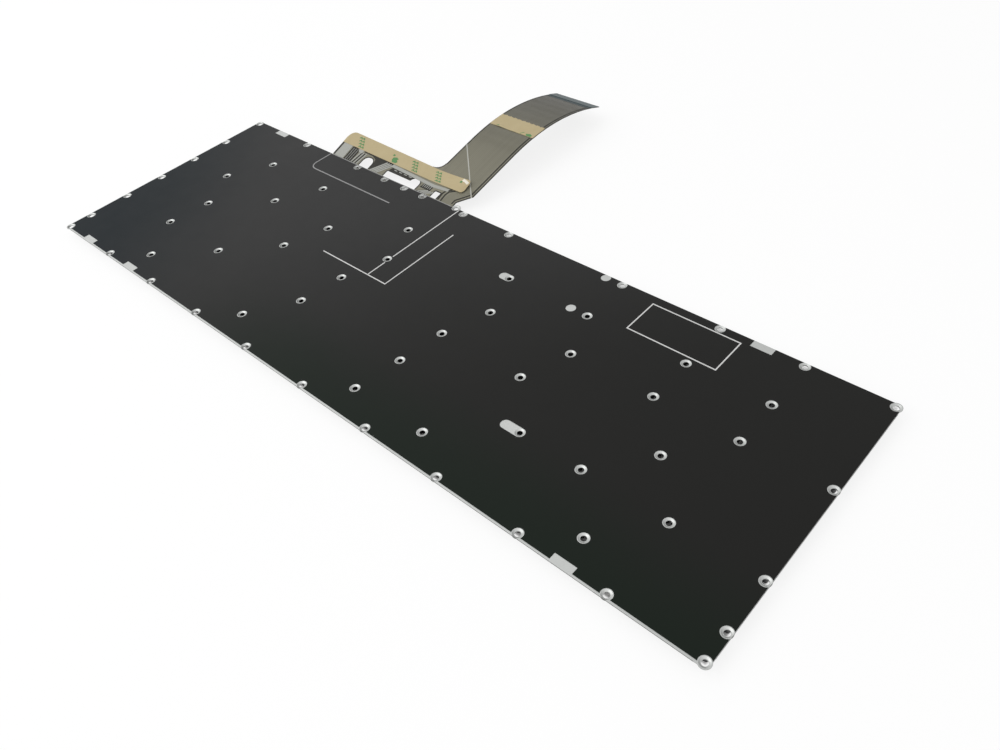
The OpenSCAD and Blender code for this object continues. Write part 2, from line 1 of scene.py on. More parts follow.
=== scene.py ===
"""Dresses the laptop replacement keyboard, which lies with its keys down and its black back up."""
import json
import math

import bmesh
import bpy
import numpy as np
from mathutils import Matrix, Vector

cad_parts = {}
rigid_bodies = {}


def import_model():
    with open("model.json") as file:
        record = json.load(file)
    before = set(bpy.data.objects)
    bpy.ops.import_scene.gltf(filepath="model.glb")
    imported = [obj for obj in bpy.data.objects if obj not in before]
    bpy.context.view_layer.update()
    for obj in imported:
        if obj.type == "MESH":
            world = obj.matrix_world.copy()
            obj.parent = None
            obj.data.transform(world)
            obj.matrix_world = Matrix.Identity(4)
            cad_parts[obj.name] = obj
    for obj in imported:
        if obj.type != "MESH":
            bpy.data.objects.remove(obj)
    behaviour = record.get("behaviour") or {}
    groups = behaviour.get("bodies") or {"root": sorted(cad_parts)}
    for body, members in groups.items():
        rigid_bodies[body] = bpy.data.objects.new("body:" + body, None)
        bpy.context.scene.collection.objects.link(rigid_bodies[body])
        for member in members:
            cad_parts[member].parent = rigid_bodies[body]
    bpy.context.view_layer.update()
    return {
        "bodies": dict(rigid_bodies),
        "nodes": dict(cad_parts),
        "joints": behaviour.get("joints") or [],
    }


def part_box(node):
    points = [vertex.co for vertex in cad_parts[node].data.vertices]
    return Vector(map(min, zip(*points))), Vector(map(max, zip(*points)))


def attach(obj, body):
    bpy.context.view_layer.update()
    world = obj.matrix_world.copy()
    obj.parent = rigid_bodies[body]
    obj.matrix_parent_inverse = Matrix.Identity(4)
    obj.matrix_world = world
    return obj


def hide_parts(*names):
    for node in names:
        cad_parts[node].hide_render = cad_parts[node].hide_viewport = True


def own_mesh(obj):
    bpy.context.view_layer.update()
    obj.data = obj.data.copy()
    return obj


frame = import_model()

bl_info = {
    "name": "Laptop keyboard back",
    "version": (1, 0, 0),
    "blender": (4, 5, 0),
    "location": "3D View > Sidebar > Keyboard",
    "description": "Dresses a packed laptop keyboard: film, steel, circuit tail, tapes and keys",
    "category": "Object",
}

MM = 0.001
BASE = "base"

# Plate coordinates: millimetres from the plate's near left corner, as in the CAD
FILM_SIDE_INSET = 0.12
FILM_NEAR_INSET = 0.75
FILM_LOW, FILM_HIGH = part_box("back_film")
PLATE_LEFT = FILM_LOW.x - FILM_SIDE_INSET * MM
PLATE_NEAR = FILM_LOW.y - FILM_NEAR_INSET * MM
PLATE_W = (FILM_HIGH.x - FILM_LOW.x) / MM + 2 * FILM_SIDE_INSET
PLATE_D = (FILM_HIGH.y - FILM_LOW.y) / MM + FILM_SIDE_INSET + FILM_NEAR_INSET
SHEET_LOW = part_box("membrane_spacer")[1].z
SHEET_T = SHEET_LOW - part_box("membrane_spacer")[0].z
SHEET_TOP = SHEET_T / MM

# The tail rises from the plate's far edge, runs straight and bends back down
BEND_GAP = 0.4
BEND_Y = PLATE_D + BEND_GAP
TAIL_RISE = math.radians(12.5)
TAIL_STRAIGHT = 37.0
TAIL_RADIUS = 105.0
TAIL_BEND = math.radians(34)
TAIL_LENGTH = TAIL_STRAIGHT + TAIL_RADIUS * TAIL_BEND
TAIL_LEFT = 118.0
TAIL_RIGHT = 144.4
EXTENSION_LEFT = 58.2
EXTENSION_RIGHT = 139.6
EXTENSION_REACH = 14.9

# The extension's left end is lifted a little more than its slope
ROOT_LIFT = 1.9


def on_plate(x, y, lift):
    """A point over the back film, with x, y and lift in plate millimetres."""
    return Vector((PLATE_LEFT + x * MM, PLATE_NEAR + y * MM, FILM_HIGH.z + lift * MM))


def tail_side(run, lift):
    """Y and Z of a point on the tail: run along it from the bend, lift over its lower face."""
    if run <= 0:
        return BEND_Y + run, lift
    along = min(run, TAIL_STRAIGHT)
    y = BEND_Y + along * math.cos(TAIL_RISE)
    z = along * math.sin(TAIL_RISE)
    angle = TAIL_RISE - max(0.0, run - TAIL_STRAIGHT) / TAIL_RADIUS
    y += TAIL_RADIUS * (math.sin(TAIL_RISE) - math.sin(angle))
    z += TAIL_RADIUS * (math.cos(angle) - math.cos(TAIL_RISE))
    return y - lift * math.sin(angle), z + lift * math.cos(angle)


def run_at(y):
    """Run along the straight part of the tail at plate millimetre y."""
    return (y - BEND_Y) / math.cos(TAIL_RISE)


def root_lift(x, run):
    """How far the extension is lifted at this place, in millimetres."""
    sideways = (TAIL_LEFT - x) / (TAIL_LEFT - EXTENSION_LEFT)
    outwards = run / run_at(PLATE_D + EXTENSION_REACH)
    return ROOT_LIFT * min(1.0, max(0.0, sideways)) * min(1.0, max(0.0, outwards))


def on_tail(x, run, lift):
    """A point of the extension or the tail, in the row frame."""
    y, z = tail_side(run, lift)
    z += root_lift(x, run)
    return Vector((PLATE_LEFT + x * MM, PLATE_NEAR + y * MM, SHEET_LOW + z * MM))


class Field:
    """A shader value that Python's operators work on: each of them adds its Math node."""

    def __init__(self, nodes, socket):
        self.nodes = nodes
        self.socket = socket

    def maths(self, operation, *values):
        """The result of a Math node on these values."""
        return self.nodes.node("Math", {"operation": operation}, *values)

    def __add__(self, other):
        return self.maths("ADD", self, other)

    def __radd__(self, other):
        return self.maths("ADD", other, self)

    def __sub__(self, other):
        return self.maths("SUBTRACT", self, other)

    def __rsub__(self, other):
        return self.maths("SUBTRACT", other, self)

    def __mul__(self, other):
        return self.maths("MULTIPLY", self, other)

    def __rmul__(self, other):
        return self.maths("MULTIPLY", other, self)

    def __truediv__(self, other):
        return self.maths("DIVIDE", self, other)

    def __rtruediv__(self, other):
        return self.maths("DIVIDE", other, self)

    def rising(self, low, high):
        """0 below low, 1 above high and smooth between them."""
        settings = {"interpolation_type": "SMOOTHSTEP"}
        return self.nodes.node("MapRange", settings, self, low, high)


class Nodes:
    """A node tree whose nodes are added and linked from here."""

    def __init__(self, tree):
        self.tree = tree

    def plug(self, socket, value):
        """Links a field to a socket, or sets the socket's own value."""
        if isinstance(value, Field):
            self.tree.links.new(value.socket, socket)
        elif isinstance(value, (tuple, list)) and socket.type == "RGBA":
            socket.default_value = (*value[:3], 1)
        else:
            socket.default_value = value

    def node(self, kind, settings, *values, output=0, **named):
        """Adds a node: its settings come first, then its sockets by place or by name."""
        node = self.tree.nodes.new("ShaderNode" + kind)
        for key, value in settings.items():
            setattr(node, key, value)
        for place, value in enumerate(values):
            self.plug(node.inputs[place], value)
        for key, value in named.items():
            self.plug(node.inputs[key.replace("_", " ")], value)
        return Field(self, node.outputs[output])

    def seen(self):
        """1 for rays from the camera or off a gloss, 0 for all others."""
        camera = self.node("LightPath", {}, output="Is Camera Ray")
        return camera.maths("MAXIMUM", camera, self.node("LightPath", {}, output="Is Glossy Ray"))


class Finish(Nodes):
    """A material with one Principled shader, built from named values."""

    def __init__(self, name, colour, roughness=0.5, **sockets):
        self.material = bpy.data.materials.new(name)
        self.material.use_nodes = True
        super().__init__(self.material.node_tree)
        self.shader = self.tree.nodes["Principled BSDF"]
        self.feed("Base Color", colour)
        self.feed("Roughness", roughness)
        for socket, value in sockets.items():
            self.feed(socket.replace("_", " "), value)

    def feed(self, socket, value):
        """Gives the shader's socket a field or a value."""
        self.plug(self.shader.inputs[socket], value)

    def bump(self, height, distance):
        """Raises the surface by a height field, with distance in metres."""
        self.feed("Normal", self.node("Bump", {}, Height=height, Distance=distance))

    def place(self):
        """Object coordinates, in metres of the row frame."""
        return self.node("TexCoord", {}, output="Object")

    def axes(self):
        """X, Y and Z of the object coordinates."""
        place = self.place()
        return [self.node("SeparateXYZ", {}, place, output=axis) for axis in "XYZ"]

    def stretched(self, x, y, z):
        """Object coordinates scaled by these factors."""
        return self.node("VectorMath", {"operation": "MULTIPLY"}, self.place(), Vector((x, y, z)))

    def noise(self, scale, detail=2.0, vector=None):
        """Noise from 0 to 1, with scale in cycles a metre."""
        vector = vector or self.place()
        return self.node("TexNoise", {}, Vector=vector, Scale=scale, Detail=detail)

    def mix(self, factor, first, second):
        """Blends two colours."""
        node = self.tree.nodes.new("ShaderNodeMix")
        node.data_type = "RGBA"
        for place, value in ((0, factor), (6, first), (7, second)):
            self.plug(node.inputs[place], value)
        return Field(self, node.outputs[2])


def shaded(colour, *shares):
    """A colour times one share, or times a share for each channel."""
    shares = shares * 3 if len(shares) == 1 else shares
    return tuple(value * share for value, share in zip(colour, shares))


def strip(mesh, line, width, low, high, surface, closed=False, step=2.0):
    """Adds a flat solid strip along a line on a surface, with mitred corners."""
    points = [Vector(p) for p in line]
    if closed:
        points.append(points[0])
    fine = [points[0]]
    for start, end in zip(points, points[1:]):
        pieces = max(1, math.ceil((end - start).length / step))
        fine += [start.lerp(end, i / pieces) for i in range(1, pieces + 1)]
    if closed:
        fine.pop()
    count = len(fine)
    rings = []
    for i, point in enumerate(fine):
        before = fine[i - 1] if i or closed else None
        after = fine[(i + 1) % count] if i + 1 < count or closed else None
        into = (point - before).normalized() if before else (after - point).normalized()
        out = (after - point).normalized() if after else into
        side = Vector((-into.y - out.y, into.x + out.x)).normalized()
        half = width / 2 / max(0.4, side.dot(Vector((-into.y, into.x))))
        left, right = point + side * half, point - side * half
        corners = ((left, low), (right, low), (right, high), (left, high))
        rings.append([mesh.verts.new(surface(p.x, p.y, lift)) for p, lift in corners])
    pairs = list(zip(rings, rings[1:]))
    if closed:
        pairs.append((rings[-1], rings[0]))
    for ring, following in pairs:
        for i in range(4):
            j = (i + 1) % 4
            mesh.faces.new((ring[i], ring[j], following[j], following[i]))
    if not closed:
        mesh.faces.new(rings[0][::-1])
        mesh.faces.new(rings[-1])


def patch(mesh, outline, low, high, surface):
    """Adds a flat solid patch with this outline on a surface."""
    base = [mesh.verts.new(surface(x, y, low)) for x, y in outline]
    top = [mesh.verts.new(surface(x, y, high)) for x, y in outline]
    mesh.faces.new(base[::-1])
    mesh.faces.new(top)
    for i in range(len(base)):
        j = (i + 1) % len(base)
        mesh.faces.new((base[i], base[j], top[j], top[i]))


def fill(mesh, outlines, low, high, surface):
    """Adds a patch for each outline."""
    for outline in outlines:
        patch(mesh, outline, low, high, surface)


def arc(centre, radius, start, end, pieces=8):
    """Points of an arc, with its angles in degrees."""
    angles = [math.radians(start + (end - start) * i / pieces) for i in range(pieces + 1)]
    return [(centre[0] + radius * math.cos(a), centre[1] + radius * math.sin(a)) for a in angles]


def corner_inset(radius, distance):
    """How far a round corner draws an edge in, at this distance from the end."""
    cut = min(radius, max(0.0, radius - distance))
    return radius - math.sqrt(radius ** 2 - cut ** 2)


def thin_grid(columns, rows, thickness, column, surface):
    """A thin solid over a grid: column gives the place, near edge and width at a share."""
    mesh = bmesh.new()
    layers = []
    for lift in (0, thickness):
        grid = []
        for i in range(columns + 1):
            along, near, width = column(i / columns)
            points = [surface(along, near + width * j / rows, lift) for j in range(rows + 1)]
            grid.append([mesh.verts.new(point) for point in points])
        layers.append(grid)
    low, high = layers
    for i in range(columns):
        for j in range(rows):
            mesh.faces.new((low[i][j], low[i][j + 1], low[i + 1][j + 1], low[i + 1][j]))
            mesh.faces.new((high[i][j], high[i + 1][j], high[i + 1][j + 1], high[i][j + 1]))
    for j in range(rows):
        mesh.faces.new((low[0][j], high[0][j], high[0][j + 1], low[0][j + 1]))
        mesh.faces.new((low[-1][j], low[-1][j + 1], high[-1][j + 1], high[-1][j]))
    for i in range(columns):
        mesh.faces.new((low[i][0], low[i + 1][0], high[i + 1][0], high[i][0]))
        mesh.faces.new((low[i][rows], high[i][rows], high[i + 1][rows], low[i + 1][rows]))
    return mesh


def welded(data):
    """A bmesh of this mesh, where points at one place are one."""
    mesh = bmesh.new()
    mesh.from_mesh(data)
    bmesh.ops.remove_doubles(mesh, verts=mesh.verts, dist=MM / 1000)
    return mesh


def add_object(name, data):
    """Adds an object to the scene."""
    item = bpy.data.objects.new(name, data)
    bpy.context.scene.collection.objects.link(item)
    return item


def add_piece(name, mesh, finish, body, replaced=(), smooth=None):
    """Turns a bmesh or a mesh into a piece that rides on a body."""
    if isinstance(mesh, bmesh.types.BMesh):
        data = bpy.data.meshes.new(name)
        bmesh.ops.recalc_face_normals(mesh, faces=mesh.faces)
        mesh.to_mesh(data)
        mesh.free()
    else:
        data = mesh
    data.materials.clear()
    data.materials.append(finish.material)
    if smooth is not None:
        data.polygons.foreach_set("use_smooth", [True] * len(data.polygons))
        data.set_sharp_from_angle(angle=math.radians(smooth))
    piece = add_object(name, data)
    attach(piece, body)
    if replaced:
        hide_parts(*replaced)
    return piece


def dress(node, finish):
    """Gives a CAD node its finish."""
    slots = frame["nodes"][node].data.materials
    slots.clear()
    slots.append(finish.material)


def solid_boxes(node):
    """Lowest and highest corner of each separate solid of a CAD node."""
    mesh = welded(frame["nodes"][node].data)
    seen = set()
    boxes = []
    for start in mesh.verts:
        if start.index in seen:
            continue
        seen.add(start.index)
        group, todo = [], [start]
        while todo:
            vert = todo.pop()
            group.append(vert.co.copy())
            for edge in vert.link_edges:
                other = edge.other_vert(vert)
                if other.index not in seen:
                    seen.add(other.index)
                    todo.append(other)
        low = Vector(min(p[i] for p in group) for i in range(3))
        high = Vector(max(p[i] for p in group) for i in range(3))
        boxes.append((low, high))
    mesh.free()
    return boxes


def split_by_key(node, boxes):
    """Meshes of a CAD node's faces under each of these boxes, and one of all its other faces."""
    source = frame["nodes"][node].data
    count = len(source.polygons)
    centres = np.empty(count * 3)
    source.polygons.foreach_get("center", centres)
    centres = centres.reshape(-1, 3)
    owner = np.full(count, len(boxes))
    for i, (low, high) in enumerate(boxes):
        inside = (centres[:, 0] > low.x) & (centres[:, 0] < high.x)
        inside &= (centres[:, 1] > low.y) & (centres[:, 1] < high.y)
        owner[inside] = i
    points = [vertex.co.copy() for vertex in source.vertices]
    faces = [tuple(face.vertices) for face in source.polygons]
    meshes = []
    for i in range(len(boxes) + 1):
        chosen = [faces[j] for j in np.flatnonzero(owner == i)]
        if not chosen:
            meshes.append(None)
            continue
        used = sorted({v for face in chosen for v in face})
        place = {v: k for k, v in enumerate(used)}
        data = bpy.data.meshes.new(node)
        corners = [[place[v] for v in face] for face in chosen]
        data.from_pydata([points[v] for v in used], [], corners)
        joined = welded(data)
        joined.to_mesh(data)
        joined.free()
        meshes.append(data)
    return meshes


def colour_property(name, description, *default):
    """A colour setting."""
    return bpy.props.FloatVectorProperty(
        name=name, description=description, subtype="COLOR", size=3, default=default)


def number_property(name, description, default):
    """A plain number setting."""
    return bpy.props.FloatProperty(name=name, description=description, default=default)


def share_property(name, description, default):
    """A setting from 0 to 1."""
    return bpy.props.FloatProperty(
        name=name, description=description, subtype="FACTOR", min=0, max=1, default=default)


class FilmSettings(bpy.types.PropertyGroup):
    """Back film and what is printed on it"""

    black: colour_property("Film colour", "Colour of the film's middle", 0.0100, 0.0100, 0.0092)
    # The far left colour is a painted sheen: a paler black in place of the film's reflection at the
    # far left.
    lit: colour_property("Far left colour", "Paler black at the far left", 0.0225, 0.0225, 0.0225)
    cool: colour_property("Left tint", "Blue black at the left corner", 0.0015, 0.0050, 0.0075)
    green: colour_property("Near tint", "Green black along the near edge", 0.0040, 0.0088, 0.0050)
    speck: colour_property("Speck colour", "Colour of the few dust specks", 0.30, 0.30, 0.29)
    roughness: share_property("Roughness", "Roughness of the satin film", 0.5)
    line_width: number_property("Line width", "Width of the printed lines in millimetres", 0.5)
    line_colour: colour_property("Line colour", "Colour of the printed lines", 0.64, 0.64, 0.63)
    dull_line_colour: colour_property(
        "Dull line colour", "Colour of the worn line round the far left field", 0.25, 0.25, 0.25)


class SteelSettings(bpy.types.PropertyGroup):
    """Support plate and stabiliser wires"""

    colour: colour_property("Steel colour", "Colour of the zinc plated steel", 0.47, 0.48, 0.47)
    roughness: share_property("Roughness", "Roughness of the plated steel", 0.44)
    # The sheared edge colour is partly the bare edges' own dark colour and partly painted shade on
    # the plate's side faces.
    sheared: colour_property("Sheared edge", "Colour of the bare sheared edges", 0.11, 0.11, 0.105)


class CircuitSettings(bpy.types.PropertyGroup):
    """Circuit sheets, tail and tapes"""

    sheet: colour_property("Sheet colour", "Olive grey of the circuit sheet", 0.195, 0.186, 0.138)
    spacer: colour_property("Spacer colour", "Pale grey of the spacer sheet", 0.50, 0.49, 0.43)
    silver: colour_property("Silver ink", "Colour of the silver ink", 0.33, 0.335, 0.305)
    dark: colour_property("Dark gaps", "Colour between the tracks", 0.020, 0.019, 0.014)
    fold: colour_property("Fold line", "Pale grey of the fold line", 0.42, 0.42, 0.38)
    carbon: colour_property("Contacts", "Carbon grey of the contact fingers", 0.045, 0.045, 0.047)
    stiffener: colour_property("Stiffener", "Blue grey of the stiffener", 0.024, 0.047, 0.052)
    paper: colour_property("Tape liner", "Tan of the tapes' paper liners", 0.465, 0.39, 0.23)
    # The worn liner colour is a painted highlight: a near white patch on the lifted corner in place
    # of the paper's gloss.
    worn: colour_property("Worn liner", "White of the liner's worn corner", 0.80, 0.78, 0.70)
    ink: colour_property("Green ink", "Green of the marks on the liners", 0.085, 0.24, 0.085)
    track_pitch: number_property("Track pitch", "Pitch of the tail's tracks in millimetres", 0.95)
    track_width: number_property("Track width", "Width of a track in millimetres", 0.6)


class KeySettings(bpy.types.PropertyGroup):
    """Keycaps, legends and what lies under them"""

    plastic: colour_property("Keycap colour", "Black of the keycaps", 0.013, 0.013, 0.014)
    legend: colour_property("Legend colour", "Colour of the printed legends", 0.60, 0.60, 0.58)
    rubber: colour_property("Dome colour", "Milky grey of the rubber domes", 0.46, 0.49, 0.48)
    link: colour_property("Link colour", "Natural white of the scissor links", 0.68, 0.68, 0.66)
    legend_size: number_property(
        "Legend size", "Height of a one letter legend in millimetres", 3.6)


class StageSettings(bpy.types.PropertyGroup):
    """Camera, lamps and floor"""

    camera_place: bpy.props.FloatVectorProperty(
        name="Camera place", description="Camera from the plate's near left corner",
        subtype="TRANSLATION", unit="LENGTH", size=3, default=(0.38029, -0.09351, 0.20982))
    camera_aim: bpy.props.FloatVectorProperty(
        name="Camera direction", description="Direction in which the camera looks",
        subtype="DIRECTION", size=3, default=(-0.52812, 0.47766, -0.70209))
    camera_up: bpy.props.FloatVectorProperty(
        name="Camera up", description="Upward direction of the picture",
        subtype="DIRECTION", size=3, default=(-0.41824, 0.57325, 0.70460))
    lens: number_property("Lens", "Focal length in millimetres", 30.82)
    floor_colour: colour_property("Floor colour", "Colour of the plain floor", 0.93, 0.93, 0.93)
    glow: share_property("Floor glow", "Share of white that the camera sees on the floor", 0.82)
    sky: number_property("Sky strength", "Strength of the even light all round", 0.6)


def film_finish(settings):
    """Satin black film: paler at the far left, which is a painted sheen, blue at the left, green
    near, with a few specks.
    """
    black = tuple(settings.black)
    finish = Finish("satin_film", black, settings.roughness, Specular_IOR_Level=0.1)
    x, y, _ = finish.axes()
    along = (x - PLATE_LEFT) / (PLATE_W * MM)
    across = (y - PLATE_NEAR) / (PLATE_D * MM)
    drift = finish.noise(9.0, 1.0) * 0.16 - 0.08
    # Painted sheen: the film is paler towards the far left, in place of its reflection of the light
    # there.
    lit = 1 - (along - across * 0.28 + drift).rising(0.02, 0.62)
    cool = 1 - (along + across * 0.22 + drift).rising(0.04, 0.34)
    green = (1 - (across + drift).rising(0.02, 0.36)) * along.rising(0.25, 0.5) * 0.8
    colour = finish.mix(lit, black, tuple(settings.lit))
    colour = finish.mix(cool, colour, tuple(settings.cool))
    colour = finish.mix(green, colour, tuple(settings.green))
    cells = finish.node("TexVoronoi", {}, Vector=finish.stretched(1, 1, 0), Scale=48.0)
    centre = Field(finish, cells.socket.node.outputs["Position"])
    chance = finish.node("TexWhiteNoise", {"noise_dimensions": "3D"}, centre)
    speck = (1 - cells.rising(0.006, 0.011)) * chance.rising(0.88, 0.9)
    finish.feed("Base Color", finish.mix(speck * 0.7, colour, tuple(settings.speck)))
    finish.feed("Roughness", settings.roughness + finish.noise(160.0, 3.0) * 0.08 - 0.04)
    finish.bump(finish.noise(5200.0, 2.0), 0.000004)
    return finish


def steel_finish(name, settings):
    """Zinc plated steel with a faint grain. Walls that face far get a painted shade, most at the
    left.
    """
    colour = tuple(settings.colour)
    finish = Finish(name, colour, settings.roughness, Metallic=1.0)
    grain = finish.noise(900.0, 3.0, finish.stretched(1, 0.15, 1))
    cloud = finish.noise(60.0, 2.0)
    zinc = finish.mix(cloud * 0.6 + grain * 0.3, colour, shaded(colour, 0.82))
    # Painted shade: walls whose normals face far are darkened in the base colour, more at the left
    # than at the right.
    normal = finish.node("TexCoord", {}, output="Normal")
    away = Vector((0.25, 0.97, 0))
    facing = finish.node("VectorMath", {"operation": "DOT_PRODUCT"}, normal, away, output="Value")
    rightwards = finish.axes()[0].rising(PLATE_LEFT + 60 * MM, PLATE_LEFT + 260 * MM)
    dull = facing.rising(0.04, 0.4) * (1 - rightwards * 0.65)
    finish.feed("Base Color", finish.mix(dull, zinc, shaded(colour, 0.32)))
    finish.feed("Roughness", settings.roughness + cloud * 0.12 - 0.06)
    finish.bump(grain, 0.000006)
    return finish


def sheet_finish(name, colour, roughness=0.42):
    """Polyester sheet with faint streaks along the tail, and a painted shade that darkens it
    towards the tail's end.
    """
    colour = tuple(colour)
    finish = Finish(name, colour, roughness, Specular_IOR_Level=0.25)
    streaks = finish.noise(1.0, 3.0, finish.stretched(900, 14, 14))
    cloud = finish.noise(45.0, 2.0)
    coating = finish.mix(streaks * 0.55 + cloud * 0.45, shaded(colour, 0.72), shaded(colour, 1.16))
    # Painted shade: the base colour darkens towards the tail's end, where the bent tail turns away
    # from the light.
    root = PLATE_NEAR + (PLATE_D + EXTENSION_REACH) * MM
    end = PLATE_NEAR + tail_side(TAIL_LENGTH, 0)[0] * MM
    painted_end_shade = finish.axes()[1].rising(root, end)
    finish.feed("Base Color", finish.mix(painted_end_shade, coating, shaded(colour, 0.3)))
    finish.feed("Roughness", roughness + cloud * 0.1 - 0.05)
    return finish


def paper_finish(name, colour):
    """Paper liner with fibres and faint stains."""
    colour = tuple(colour)
    finish = Finish(name, colour, 0.72)
    fibre = finish.noise(2600.0, 4.0, finish.stretched(0.35, 1, 1))
    cloud = finish.noise(150.0, 3.0)
    stained = shaded(colour, 0.84, 0.80, 0.72)
    finish.feed("Base Color", finish.mix(fibre * 0.5 + cloud * 0.5, stained, colour))
    finish.bump(fibre, 0.00002)
    return finish


def plain_finish(name, colour, roughness, grain=1200.0, depth=0.000006, **sockets):
    """Moulded or printed matter with a fine grain."""
    colour = tuple(colour)
    finish = Finish(name, colour, roughness, **sockets)
    specks = finish.noise(grain, 3.0)
    cloud = finish.noise(70.0, 2.0)
    finish.feed("Base Color", finish.mix(specks * 0.4 + cloud * 0.6, shaded(colour, 0.82), colour))
    finish.feed("Roughness", roughness + specks * 0.1 - 0.05)
    finish.bump(specks, depth)
    return finish


class KEYBOARD_OT_back_film(bpy.types.Operator):
    """Finish the film and print its lines"""

    bl_idname = "keyboard.back_film"
    bl_label = "Back film"

    PRINT = 0.02
    WORN_WIDTH = 0.34
    WORN_PRINT = 0.01
    STEP = 20

    def execute(self, context):
        settings = context.scene.keyboard_film
        dress("back_film", film_finish(settings))
        bright = plain_finish("line_print", settings.line_colour, 0.5)
        dull = plain_finish("dull_line_print", settings.dull_line_colour, 0.5)
        width = settings.line_width
        far = PLATE_D - 0.4
        lines = [
            [(144.4, far), (144.4, 71.2)],
            [(144.4, 66.7), (144.4, 57.6)],
            [(116.6, 57.2), (154.8, 57.2), (154.8, 96)],
        ]
        rectangle = [(246.4, 90.9), (282.3, 90.9), (282.3, 106.8), (246.4, 106.8)]
        mesh = bmesh.new()
        for line in lines:
            strip(mesh, line, width, 0, self.PRINT, on_plate, step=self.STEP)
        strip(mesh, rectangle, width, 0, self.PRINT, on_plate, closed=True, step=self.STEP)
        add_piece("printed_lines", mesh, bright, BASE)
        mesh = bmesh.new()
        field = [(58, far), *arc((62, 101.1), 4, 180, 270), (114, 97.1)]
        strip(mesh, field, width * 1.2, 0, self.PRINT, on_plate, step=self.STEP)
        edge = PLATE_D - 0.3
        worn = [(EXTENSION_LEFT + 0.4, edge), (EXTENSION_RIGHT, edge)]
        strip(mesh, worn, self.WORN_WIDTH, 0, self.WORN_PRINT, on_plate, step=self.STEP)
        add_piece("printed_field_line", mesh, dull, BASE)
        return {"FINISHED"}


class KEYBOARD_OT_support_plate(bpy.types.Operator):
    """Finish the steel plate and darken its sheared edges, partly their own colour and partly a
    painted shade on the plate's side faces
    """

    bl_idname = "keyboard.support_plate"
    bl_label = "Support plate"

    WIDTH = 0.03
    HIGH = -0.13
    MARGIN = 4

    def execute(self, context):
        settings = context.scene.keyboard_steel
        dress("support_plate", steel_finish("zinc_steel", settings))
        # Dark strips over the plate's side faces: partly the bare sheared steel's own colour,
        # partly painted shade.
        sheared = plain_finish("sheared_steel_and_shade", settings.sheared, 0.6)
        underside = (SHEET_LOW + SHEET_T - FILM_HIGH.z) / MM
        left, near = -self.WIDTH / 2, -self.WIDTH / 2
        right, far = PLATE_W + self.WIDTH / 2, PLATE_D + self.WIDTH / 2
        first, last = self.MARGIN, PLATE_W - self.MARGIN
        runs = [
            [(first, near), (last, near)],
            [(right, self.MARGIN), (right, PLATE_D - self.MARGIN)],
            [(left, self.MARGIN), (left, PLATE_D - self.MARGIN)],
            [(first, far), (EXTENSION_LEFT - 2, far)],
            [(EXTENSION_RIGHT + 6, far), (last, far)],
        ]
        mesh = bmesh.new()
        for run in runs:
            strip(mesh, run, self.WIDTH, underside, self.HIGH, on_plate, step=50)
        add_piece("sheared_edges_and_shade", mesh, sheared, BASE)
        return {"FINISHED"}


